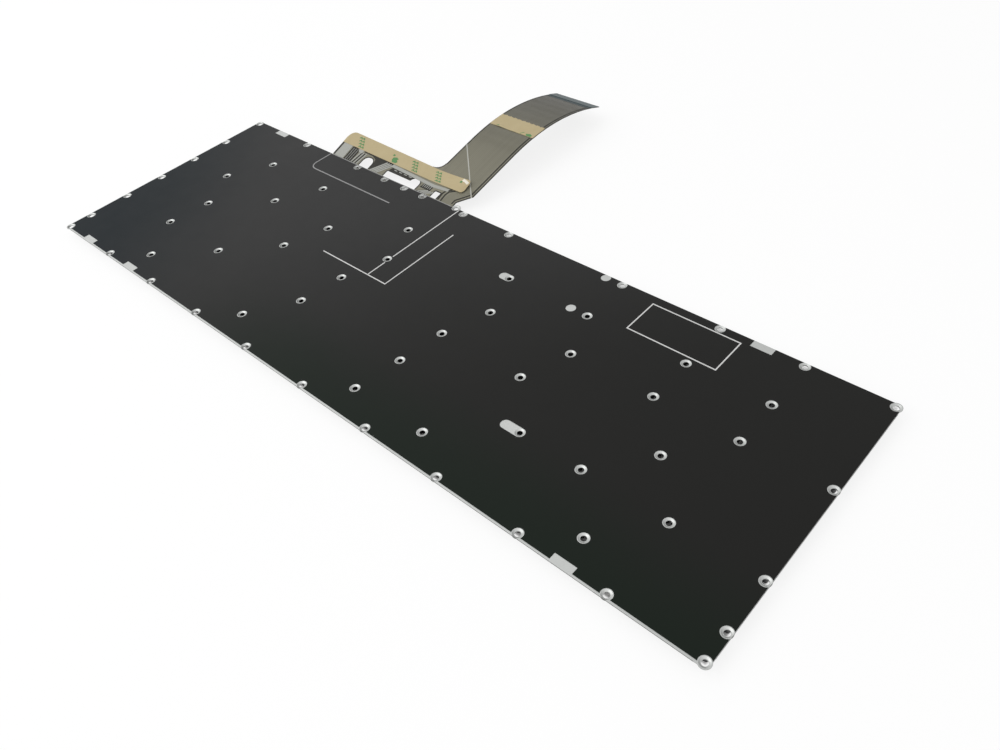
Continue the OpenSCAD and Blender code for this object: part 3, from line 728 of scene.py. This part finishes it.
class KEYBOARD_OT_circuit(bpy.types.Operator):
    """Finish the circuit sheets and print the extension and the tail"""

    bl_idname = "keyboard.circuit"
    bl_label = "Circuit sheets and tail"

    PRINT = 0.05
    WEB_RADIUS = 4.5
    WEB = (TAIL_LEFT - WEB_RADIUS, PLATE_D + EXTENSION_REACH + WEB_RADIUS)
    SLANT_NEAR = 113.7
    SLANT_FAR = 119.5

    def execute(self, context):
        settings = context.scene.keyboard_circuit
        self.sheet = sheet_finish("circuit_sheet", settings.sheet)
        dress("membrane_key_sheet", self.sheet)
        dress("membrane_spacer", sheet_finish("spacer_sheet", settings.spacer))
        self.lifted_sheet()
        self.silver = plain_finish("silver_ink", settings.silver, 0.42, Metallic=0.2)
        self.dark = plain_finish("dark_gap", settings.dark, 0.5, Specular_IOR_Level=0.2)
        self.dark_panels()
        self.silver_tracks()
        self.tail_tracks(settings)
        self.borders(settings)
        self.contacts(settings)
        return {"FINISHED"}

    def lifted_sheet(self):
        """The back sheet with its extension and tail, lifted at the extension's left end."""
        mesh = welded(frame["nodes"]["membrane_back_sheet"].data)
        across = np.arange(EXTENSION_LEFT + 4, TAIL_LEFT + 1, 4)
        along = np.arange(BEND_Y, PLATE_D + EXTENSION_REACH + 2, 2)
        cuts = [((PLATE_LEFT + x * MM, 0, 0), (1, 0, 0)) for x in across]
        cuts += [((0, PLATE_NEAR + y * MM, 0), (0, 1, 0)) for y in along]
        rim = PLATE_NEAR + PLATE_D * MM
        for point, normal in cuts:
            faces = [f for f in mesh.faces if max(v.co.y for v in f.verts) > rim]
            edges = {e for f in faces for e in f.edges}
            verts = {v for f in faces for v in f.verts}
            parts = [*verts, *edges, *faces]
            bmesh.ops.bisect_plane(mesh, geom=parts, plane_co=point, plane_no=normal)
        for vert in mesh.verts:
            x = (vert.co.x - PLATE_LEFT) / MM
            vert.co.z += root_lift(x, run_at((vert.co.y - PLATE_NEAR) / MM)) * MM
        replaced = ["membrane_back_sheet"]
        add_piece("circuit_back_sheet", mesh, self.sheet, BASE, replaced, 30)

    def flat(self, x, y, lift):
        """A point over the sheet's upper face, at plate millimetres x and y."""
        return on_tail(x, run_at(y), SHEET_TOP + lift)

    def combs(self, mesh, rows, high):
        """Rows of like lines on the extension: count, pitch, line width and the first line."""
        for count, pitch, width, line in rows:
            for i in range(count):
                strip(mesh, [(x + pitch * i, y) for x, y in line], width, 0, high, self.flat)

    def dark_panels(self):
        """Dark gaps between the tracks of the extension, and a line round each opening."""
        panels = [
            [(66.0, 111.2), (71.2, 111.2), (71.2, 116.8), (69.8, 119), (66.0, 119)],
            [(74.2, 118.2), (94.2, 117.9), (94.2, 119.2), (74.2, 119.2)],
            [(83.9, 111.5), (90.2, 111.5), (92.4, 114.6), (95.4, 118), (79.6, 118.4), (83.2, 117),
             (83.9, 115.4)],
            [(94.6, 114.8), (109.2, 114.8), (110.1, 116.8), (95.4, 116.8)],
            [(116.4, 113.6), (122.9, 113.6), (122.9, 116.9), (117.4, 116.9)],
        ]
        mesh = bmesh.new()
        fill(mesh, panels, 0, self.PRINT, self.flat)
        width, high = 0.5, self.PRINT + 0.02
        half = width / 2
        rims = [(77.2, 83.5, 116.8, 2.8), (125.4, 128.8, 114.8, 0.5)]
        for left, right, top, radius in rims:
            curve = arc((left + radius, top - radius), radius + half, 180, 90)
            curve += arc((right - radius, top - radius), radius + half, 90, 0)
            line = [(left - half, 111.3), *curve, (right + half, 111.3)]
            strip(mesh, line, width, 0, high, self.flat)
        wide = [(93.95, 111.3), (93.95, 114.2), (94.5, 114.75), (109.1, 114.75)]
        bulge = arc((112, 114.2), 2.75, 165, 90) + arc((112.7, 114.2), 2.75, 90, 0)
        strip(mesh, [*wide, *bulge, (115.45, 111.3)], width, 0, high, self.flat)
        self.combs(mesh, [
            (2, 1.8, 0.7, [(72.5, 111.2), (73.6, 117.6)]),
            (3, 1.7, 0.5, [(116.6, 111.2), (121.0, 113.4)]),
            (2, 1.8, 0.8, [(130.0, 111.3), (129.5, 115), (130.0, 117.2), (132.4, 118.8)]),
        ], self.PRINT)
        add_piece("extension_gaps", mesh, self.dark, BASE)

    def silver_tracks(self):
        """Silver panels and tracks over the extension."""
        mesh = bmesh.new()
        high = self.PRINT + 0.03
        fill(mesh, [
            [(59.4, 111.2), (65.6, 111.2), (65.4, 119), (59.4, 119)],
            [(70, 118.4), (71.4, 119), (73.8, 118.7), (73.4, 117), (71.6, 117.1)],
            [(94.4, 117), (122.6, 116), (131, 116.9), (131, 118.4), (122.6, 117.6), (94.4, 118.6)],
        ], 0, high, self.flat)
        self.combs(mesh, [
            (3, 1.4, 0.22, [(67.2, 111.4), (67.2, 118.2)]),
            (3, 1.8, 0.7, [(71.6, 111.2), (72.7, 117.8)]),
            (4, 1.35, 0.8, [(85.2, 111.2), (86.6, 112.8), (90.8, 118)]),
            (4, 3.2, 0.4, [(97.4, 116.1), (99.2, 116.1)]),
            (5, 1.1, 0.32, [(117.6, 114.3), (117.6, 116.2)]),
            (3, 1.7, 0.6, [(117.4, 111.2), (122.0, 113.5)]),
        ], high)
        add_piece("extension_tracks", mesh, self.silver, BASE)

    def tail_tracks(self, settings):
        """Tracks up the tail: the left ones come from under the tape, the right ones turn in."""
        mesh = bmesh.new()
        pitch, width = settings.track_pitch, settings.track_width
        first, last = TAIL_LEFT + 1.3, TAIL_RIGHT - 2.6
        count = int((last - first) / pitch) + 1
        turning = 8
        end, high = TAIL_LENGTH - 0.6, SHEET_TOP + 0.012
        for i in range(count):
            x = first + i * pitch
            left_over = count - 1 - i
            if left_over < turning:
                root = 138.2 - 0.8 * left_over
                turn = (x, run_at(self.SLANT_FAR) + 0.5)
                line = [(root, 0.4), (root, run_at(self.SLANT_NEAR)), turn]
            else:
                line = [(x, run_at(119.2) + 0.3 * (i % 2))]
            strip(mesh, [*line, (x, end)], width, SHEET_TOP, high, on_tail)
        finish = sheet_finish("tail_print", shaded(settings.sheet, 0.9), 0.36)
        add_piece("tail_tracks", mesh, finish, BASE)

    def borders(self, settings):
        """Dark lines along the edges of the extension and the tail, and the pale fold line."""
        root = run_at(self.WEB[1])
        slant = [
            (EXTENSION_RIGHT, 0.3), (EXTENSION_RIGHT, run_at(self.SLANT_NEAR)),
            (TAIL_RIGHT, run_at(self.SLANT_FAR))]
        lines = [
            (0.65, [(TAIL_LEFT + 0.28, root), (TAIL_LEFT + 0.28, TAIL_LENGTH - 0.2)]),
            (0.7, [*[(x - 0.3, y + 0.1) for x, y in slant], (TAIL_RIGHT - 0.3, TAIL_LENGTH - 0.2)]),
            (0.75, [*[(x - 1.7, y + 0.7) for x, y in slant], (TAIL_RIGHT - 1.7, TAIL_LENGTH - 7)]),
            (1.1, [(EXTENSION_LEFT + 0.5, 0.3), (EXTENSION_LEFT + 0.5, run_at(119.6))]),
        ]
        mesh = bmesh.new()
        for width, line in lines:
            strip(mesh, line, width, SHEET_TOP, SHEET_TOP + self.PRINT, on_tail)
        curve = arc(self.WEB, self.WEB_RADIUS, -90, 0)
        strip(mesh, curve, 0.5, 0, self.PRINT, self.flat)
        add_piece("tail_borders", mesh, self.dark, BASE)
        mesh = bmesh.new()
        corner = (TAIL_LEFT + 0.1, self.WEB[1] - self.WEB_RADIUS - 0.1)
        patch(mesh, [corner, *curve], -SHEET_TOP, 0.01, self.flat)
        add_piece("tail_root_web", mesh, self.sheet, BASE)
        mesh = bmesh.new()
        fold = [(118.3, run_at(143.8)), (143.9, run_at(118.7))]
        strip(mesh, fold, 0.5, SHEET_TOP, SHEET_TOP + self.PRINT + 0.02, on_tail)
        pale = plain_finish("fold_line", settings.fold, 0.5)
        add_piece("tail_fold_line", mesh, pale, BASE)

    def contacts(self, settings):
        """Contact fingers on the hidden face of the tail's end."""
        pitch, width, length, thickness = 1.0, 0.6, 4.5, 0.02
        mesh = bmesh.new()
        count = int((TAIL_RIGHT - TAIL_LEFT - 1) / pitch) + 1
        first = (TAIL_LEFT + TAIL_RIGHT - (count - 1) * pitch) / 2
        for i in range(count):
            x = first + i * pitch
            line = [(x, TAIL_LENGTH - length), (x, TAIL_LENGTH - 0.3)]
            strip(mesh, line, width, -thickness, 0, on_tail, step=1.5)
        carbon = plain_finish("contact_carbon", settings.carbon, 0.38, Metallic=0.3)
        add_piece("tail_contacts", mesh, carbon, BASE)


class KEYBOARD_OT_stiffener(bpy.types.Operator):
    """Finish the stiffener at the end of the tail, and lay before it a dark teal band, partly of
    the stiffener's teal and partly a painted shadow along its edge
    """

    bl_idname = "keyboard.stiffener"
    bl_label = "Tail stiffener"

    GLUE_WIDTH = 2.6
    GLUE_GAP = 1.4
    GLUE_MARGIN = 0.8
    GLUE_HEIGHT = 0.04

    def execute(self, context):
        colour = tuple(context.scene.keyboard_circuit.stiffener)
        film = plain_finish("stiffener_film", colour, 0.4, Specular_IOR_Level=0.25)
        dress("tail_stiffener", film)
        low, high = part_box("tail_stiffener")
        # A darker copy of the stiffener's teal before its edge: partly the teal band, partly a
        # painted shadow along the edge.
        run = TAIL_LENGTH - (high.y - low.y) / MM - self.GLUE_GAP
        line = [(TAIL_LEFT + self.GLUE_MARGIN, run), (TAIL_RIGHT - self.GLUE_MARGIN, run)]
        mesh = bmesh.new()
        strip(mesh, line, self.GLUE_WIDTH, SHEET_TOP, SHEET_TOP + self.GLUE_HEIGHT, on_tail)
        deep = shaded(colour, 0.7)
        dark_band = plain_finish("stiffener_band_finish", deep, 0.5, Specular_IOR_Level=0.25)
        add_piece("stiffener_band_and_shadow", mesh, dark_band, BASE)
        return {"FINISHED"}


class KEYBOARD_OT_tapes(bpy.types.Operator):
    """Lay the two tapes, with the lifted end of the long one and their green marks"""

    bl_idname = "keyboard.tapes"
    bl_label = "Tapes"

    WIDTH = 7.1
    LENGTH = 80.4
    THICKNESS = 0.15
    GLUE = 0.02
    CORNER = 4.0
    END_CORNER = 1.6
    LIFT_START = 61.0
    PATCH_START = 50.0
    PATCH_WIDTH = 9.0
    PATCH_MARGIN = 0.2
    FAR = run_at(PLATE_D + EXTENSION_REACH)

    def execute(self, context):
        settings = context.scene.keyboard_circuit
        paper = paper_finish("paper_liner", settings.paper)
        ink = paper_finish("green_ink", settings.ink)
        self.long_tape(paper, ink, settings.worn)
        self.patch_tape(paper, ink)
        return {"FINISHED"}

    def long_surface(self, along, across, lift):
        """A point on the long tape: its right end lifts a little off the sheet."""
        past = max(0.0, along - self.LIFT_START)
        share = past / (self.LENGTH - self.LIFT_START)
        raised = 1.5 * (0.4 + 0.6 * across / self.WIDTH) * share ** 1.5
        tip = max(0.0, share - 0.85) / 0.15
        ripple = 0.02 * (1 + math.sin(along * 0.9 + across)) * min(1.0, along / 4)
        height = SHEET_TOP + self.GLUE + ripple + raised - 0.25 * tip * tip
        shorter = 0.2 * share * share
        run = self.FAR - self.WIDTH + across
        return on_tail(EXTENSION_LEFT + along - shorter, run, height + lift)

    def long_column(self, share):
        """Place, near edge and width of the long tape, with its round corners."""
        along = self.LENGTH * share
        trim = corner_inset(self.END_CORNER, self.LENGTH - along)
        return along, trim, self.WIDTH - corner_inset(self.CORNER, along) - 2 * trim

    def long_tape(self, paper, ink, highlight_colour):
        """The long tape along the extension, its green marks and a painted highlight on its lifted
        corner.
        """
        mesh = thin_grid(150, 8, self.THICKNESS, self.long_column, self.long_surface)
        add_piece("liner_long", mesh, paper, BASE, ["extension_tape"], 40)
        mesh = bmesh.new()
        for start in (10.4, 47.2, 62.4):
            self.ladder(mesh, start)
        fill(mesh, [
            [(34.2, 0.5), (36.4, 0.6), (37.1, 1.6), (35.9, 2.3), (36.4, 3.2), (34.7, 3.7),
             (33.1, 3.0), (33.2, 1.6)],
            [(31.8, 3.9), (32.9, 3.7), (33.1, 4.6), (32.0, 4.8)],
            [(75.0, 4.4), (76.1, 4.5), (76.0, 5.6), (74.9, 5.4)],
        ], self.THICKNESS, self.THICKNESS + 0.05, self.long_surface)
        add_piece("liner_marks", mesh, ink, BASE)
        # Painted highlight: a near white patch on the lifted corner stands in for the paper's gloss
        # there.
        mesh = bmesh.new()
        line = [(75.6, 6.3), (77.6, 5.9), (79.6, 5.2)]
        high = self.THICKNESS + 0.015
        strip(mesh, line, 1.3, self.THICKNESS, high, self.long_surface, step=0.5)
        worn = paper_finish("painted_highlight_paper", highlight_colour)
        add_piece("liner_painted_highlight", mesh, worn, BASE)

    def ladder(self, mesh, start):
        """One mark: two leaning rows of chevrons across the tape."""
        low, high = self.THICKNESS, self.THICKNESS + 0.04
        for row in range(2):
            for step in range(4):
                x = start + 1.9 * row - 1.05 * step
                y = 0.7 + 1.45 * step
                chevron = [(x, y), (x + 0.75, y + 0.75), (x + 1.5, y)]
                strip(mesh, chevron, 0.55, low, high, self.long_surface, step=1)

    def patch_surface(self, x, across, lift):
        """A point on the patch across the tail, with a small crease near its left end."""
        fold = math.exp(-((x - TAIL_LEFT - 6.5) ** 2 + (across - 0.8) ** 2) / 2.4)
        ripple = 0.04 * (1 + math.sin(x * 1.1)) + 0.35 * fold
        return on_tail(x, self.PATCH_START + across, SHEET_TOP + self.GLUE + ripple + lift)

    def patch_column(self, share):
        """Place, near edge and width of the patch, whose far edge is torn."""
        width = TAIL_RIGHT - TAIL_LEFT - 2 * self.PATCH_MARGIN
        x = TAIL_LEFT + self.PATCH_MARGIN + width * share
        torn = 0.22 * math.sin(2.3 * x) + 0.16 * math.sin(5.1 * x)
        return x, 0, self.PATCH_WIDTH + torn

    def patch_tape(self, paper, ink):
        """The patch across the tail and its green marks."""
        mesh = thin_grid(60, 24, self.THICKNESS, self.patch_column, self.patch_surface)
        add_piece("liner_patch", mesh, paper, BASE, ["tail_tape"], 40)
        mesh = bmesh.new()
        fill(mesh, [
            [(136.2, 0.15), (142.6, 0.15), (142.9, 1.2), (141.2, 2.0), (139.6, 1.3), (137.6, 1.9)],
            [(121.5, 0.5), (124.2, 0.2), (125.8, 1.3), (123.4, 0.9)],
        ], self.THICKNESS, self.THICKNESS + 0.02, self.patch_surface)
        add_piece("patch_marks", mesh, ink, BASE)


NUMBER_LEGENDS = [
    "!\n1", "@\n2", "#\n3", "$\n4", "%\n5", "^\n6", "&\n7", "*\n8", "(\n9", ")\n0", "_\n-", "+\n="]
UPPER_LEGENDS = [*"QWERTYUIOP", "{\n[", "}\n]"]
HOME_LEGENDS = [*"ASDFGHJKL", ":\n;", "\"\n'"]
LOWER_LEGENDS = [*"ZXCVBNM", "<\n,", ">\n.", "?\n/"]
TYPING_LEGENDS = NUMBER_LEGENDS + UPPER_LEGENDS + HOME_LEGENDS + LOWER_LEGENDS
GROUP_LEGENDS = {
    "function_row_keys": [
        "esc", *[f"F{i}" for i in range(1, 13)], "print", "insert", "delete",
        "home", "end", "pg up", "pg dn"],
    "command_keys": [
        "~\n`", "backspace", "tab", "|\n\\", "caps lock", "enter", "shift", "shift",
        "ctrl", "fn", "", "alt", "alt", "ctrl", "LEFT", "UP", "RIGHT", "DOWN"],
    "numeric_pad_keys": [
        "num", "/", "*", "-", "7", "8", "9", "+", "4", "5", "6", "1", "2", "3", "enter", "0", "."],
}
ARROW_ANGLES = {"LEFT": 180, "UP": -90, "RIGHT": 0, "DOWN": 90}


def under_cap(x, y, lift):
    """A point under a cap's face: x and y in the row frame, lift down in millimetres."""
    return Vector((x, y, -lift * MM))


def legend_share(text, short):
    """Height of a legend as a share of the height of a one letter legend."""
    if short:
        return 0.48
    if "\n" in text:
        return 0.8
    if len(text) > 3:
        return 0.52
    return 0.62 if len(text) > 1 else 1.0


class KEYBOARD_OT_keycaps(bpy.types.Operator):
    """Finish the keycaps and print their legends"""

    bl_idname = "keyboard.keycaps"
    bl_label = "Keycaps and legends"

    MARGIN = 2.1
    PRINT = 0.01
    SHORT_CAP = 8
    ARROW_RADIUS = 1.2
    SIZE_PER_HEIGHT = 1.35

    def execute(self, context):
        settings = context.scene.keyboard_keys
        self.size = settings.legend_size
        cap = plain_finish("keycap_plastic", settings.plastic, 0.48, 3400.0, 0.000012)
        paint = plain_finish("legend_paint", settings.legend, 0.5)
        typing = [name for name in frame["nodes"] if name.startswith("key_")]
        order = [name for name in frame["bodies"] if name in typing]
        if len(order) != len(TYPING_LEGENDS):
            raise RuntimeError(f"{len(order)} typing keys for {len(TYPING_LEGENDS)} legends")
        for name, text in zip(order, TYPING_LEGENDS):
            dress(name, cap)
            mesh = bmesh.new()
            self.print_on(mesh, text, *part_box(name))
            add_piece("legend_" + name, mesh, paint, name)
        dress("space_bar", cap)
        for node, texts in GROUP_LEGENDS.items():
            dress(node, cap)
            caps = sorted(solid_boxes(node), key=lambda b: (round(b[0].y / MM), b[0].x))
            if len(caps) != len(texts):
                raise RuntimeError(f"{node} has {len(caps)} caps for {len(texts)} legends")
            mesh = bmesh.new()
            for (low, high), text in zip(caps, texts):
                self.print_on(mesh, text, low, high)
            add_piece("legends_" + node, mesh, paint, BASE)
        return {"FINISHED"}

    def print_on(self, mesh, text, low, high):
        """Prints a legend on the face of a cap that lies on the floor, to be read from below."""
        if text in ARROW_ANGLES:
            middle = (low + high) / 2
            radius = self.ARROW_RADIUS * MM
            corners = []
            for turn in (0, 140, 220):
                tip = math.radians(ARROW_ANGLES[text] + turn)
                x, y = radius * math.cos(tip), radius * math.sin(tip)
                corners.append((middle.x + x, middle.y + y))
            patch(mesh, corners, 0, self.PRINT, under_cap)
        elif text:
            short = (high.y - low.y) / MM < self.SHORT_CAP
            margin = self.MARGIN * MM * (0.75 if short else 1)
            words = bpy.data.curves.new("legend", "FONT")
            words.body = text
            words.size = self.size * legend_share(text, short) * MM * self.SIZE_PER_HEIGHT
            words.space_line = 0.85
            words.resolution_u = 3
            words.extrude = self.PRINT * MM
            words.align_x = "LEFT"
            words.align_y = "TOP"
            carrier = add_object("legend", words)
            bpy.context.view_layer.update()
            flat = carrier.evaluated_get(bpy.context.evaluated_depsgraph_get()).to_mesh()
            flip = Matrix.Rotation(math.pi, 4, "X")
            flat.transform(Matrix.Translation((low.x + margin, low.y + margin, 0)) @ flip)
            mesh.from_mesh(flat)
            bpy.data.objects.remove(carrier)
            bpy.data.curves.remove(words)


class KEYBOARD_OT_mechanism(bpy.types.Operator):
    """Finish the domes, links and wires, and make a piece of them under each key"""

    bl_idname = "keyboard.mechanism"
    bl_label = "Domes, links and wires"

    def execute(self, context):
        settings = context.scene.keyboard_keys
        rubber = plain_finish("dome_rubber", settings.rubber, 0.5)
        plastic = plain_finish("link_plastic", settings.link, 0.45)
        wire = steel_finish("wire_steel", context.scene.keyboard_steel)
        presses = {joint["child"]: joint for joint in frame["joints"]}
        kinds = (
            ("rubber_domes", "dome_rubber", rubber),
            ("scissor_links", "link_plastic", plastic),
            ("stabiliser_wires", "wire_steel", wire),
        )
        caps = [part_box(name) for name in presses]
        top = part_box("membrane_key_sheet")[0].z
        for node, slot, finish in kinds:
            *under, still = split_by_key(node, caps)
            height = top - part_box(node)[0].z
            for (name, joint), data in zip(presses.items(), under):
                if data is None:
                    continue
                piece = add_piece(f"{node}_{name}", data, finish, BASE, [node], 35)
                keep = 1 - joint["range_m"][1] / height
                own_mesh(piece)
            add_piece(f"{node}_fixed", still, finish, BASE, [node], 35)
        return {"FINISHED"}


class KEYBOARD_OT_stage(bpy.types.Operator):
    """Set the camera, the lamps and the floor"""

    bl_idname = "keyboard.stage"
    bl_label = "Stage"

    def execute(self, context):
        settings = context.scene.keyboard_stage
        self.camera(context, settings)
        self.floor(settings)
        self.lamps()
        self.sky(context, settings)
        context.scene.view_settings.view_transform = "Standard"
        return {"FINISHED"}

    def camera(self, context, settings):
        """The camera of the photograph, placed from the plate's near left corner."""
        data = bpy.data.cameras.new("camera")
        data.lens = settings.lens
        data.sensor_width = 36
        data.clip_start = 0.01
        camera = add_object("camera", data)
        back = -Vector(settings.camera_aim).normalized()
        right = Vector(settings.camera_up).cross(back).normalized()
        up = back.cross(right)
        turned = Matrix((right, up, back)).transposed().to_4x4()
        corner = Vector((PLATE_LEFT, PLATE_NEAR, 0))
        place = corner + Vector(settings.camera_place)
        camera.matrix_world = Matrix.Translation(place) @ turned
        context.scene.camera = camera

    def floor(self, settings):
        """A wide pale floor just under the keycaps, nearly white to the camera."""
        mesh = bmesh.new()
        bmesh.ops.create_grid(mesh, x_segments=1, y_segments=1, size=4)
        data = bpy.data.meshes.new("floor")
        mesh.to_mesh(data)
        mesh.free()
        finish = Finish("floor_card", tuple(settings.floor_colour), 0.9)
        lit = Field(finish, finish.shader.outputs[0])
        share = finish.seen() * self.clear_of_plate(finish) * settings.glow
        blend = finish.node("MixShader", {}, share, lit, finish.node("Emission", {}))
        finish.plug(finish.tree.nodes["Material Output"].inputs["Surface"], blend)
        data.materials.append(finish.material)
        floor = add_object("floor", data)
        floor.location.z = -0.03 * MM

    def clear_of_plate(self, finish):
        """0 on the floor under the plate, so that its holes look dark, and 1 all round it.

        The camera looks from the near right, so the dark part reaches past the plate's far left.
        """
        x, y, _ = finish.axes()
        x = (x - PLATE_LEFT) / MM
        y = (y - PLATE_NEAR) / MM
        across = x.rising(-5, -3) * (1 - x.rising(PLATE_W - 2.3, PLATE_W - 1.5))
        return 1 - across * y.rising(2.4, 3.2) * (1 - y.rising(PLATE_D + 2, PLATE_D + 3))

    def lamps(self):
        """A broad key light from the near left, a weak rim light and a fill from the near right."""
        lamps = (
            ("key_light", (-0.75, -0.85, 1.1), 1.5, 13.0),
            ("rim_light", (-1.1, 0.5, 1.0), 1.6, 3.2),
            ("fill_light", (0.6, -0.6, 1.1), 1.2, 2.5),
        )
        for name, place, size, power in lamps:
            data = bpy.data.lights.new(name, "AREA")
            data.size = size
            data.energy = power
            lamp = add_object(name, data)
            lamp.location = place
            lamp.rotation_euler = Vector(place).to_track_quat("Z", "Y").to_euler()

    def sky(self, context, settings):
        """Even light from all round, white where the camera or a gloss sees it."""
        world = bpy.data.worlds.new("studio")
        context.scene.world = world
        world.use_nodes = True
        nodes = Nodes(world.node_tree)
        sky = nodes.tree.nodes["Background"].inputs
        level = nodes.node("MapRange", {}, Value=nodes.seen(), To_Min=settings.sky)
        nodes.plug(sky["Color"], (1, 1, 1))
        nodes.plug(sky["Strength"], level)


class KEYBOARD_PT_panel(bpy.types.Panel):
    """Settings and pieces of the keyboard"""

    bl_idname = "KEYBOARD_PT_panel"
    bl_label = "Laptop keyboard"
    bl_space_type = "VIEW_3D"
    bl_region_type = "UI"
    bl_category = "Keyboard"

    def draw(self, context):
        for name, group in GROUPS:
            box = self.layout.box()
            box.label(text=group.__doc__)
            for setting in group.__annotations__:
                box.prop(getattr(context.scene, name), setting)
        for operator in OPERATORS:
            self.layout.operator(operator.bl_idname)


GROUPS = (
    ("keyboard_film", FilmSettings),
    ("keyboard_steel", SteelSettings),
    ("keyboard_circuit", CircuitSettings),
    ("keyboard_keys", KeySettings),
    ("keyboard_stage", StageSettings),
)
OPERATORS = (
    KEYBOARD_OT_back_film,
    KEYBOARD_OT_support_plate,
    KEYBOARD_OT_circuit,
    KEYBOARD_OT_stiffener,
    KEYBOARD_OT_tapes,
    KEYBOARD_OT_keycaps,
    KEYBOARD_OT_mechanism,
    KEYBOARD_OT_stage,
)


def register():
    for name, group in GROUPS:
        bpy.utils.register_class(group)
        setattr(bpy.types.Scene, name, bpy.props.PointerProperty(type=group))
    for operator in OPERATORS:
        bpy.utils.register_class(operator)
    bpy.utils.register_class(KEYBOARD_PT_panel)


def unregister():
    bpy.utils.unregister_class(KEYBOARD_PT_panel)
    for operator in reversed(OPERATORS):
        bpy.utils.unregister_class(operator)
    for name, group in reversed(GROUPS):
        delattr(bpy.types.Scene, name)
        bpy.utils.unregister_class(group)


def main():
    """Builds every piece in order."""
    register()
    for operator in OPERATORS:
        group, name = operator.bl_idname.split(".")
        getattr(getattr(bpy.ops, group), name)()


if __name__ == "__main__":
    main()
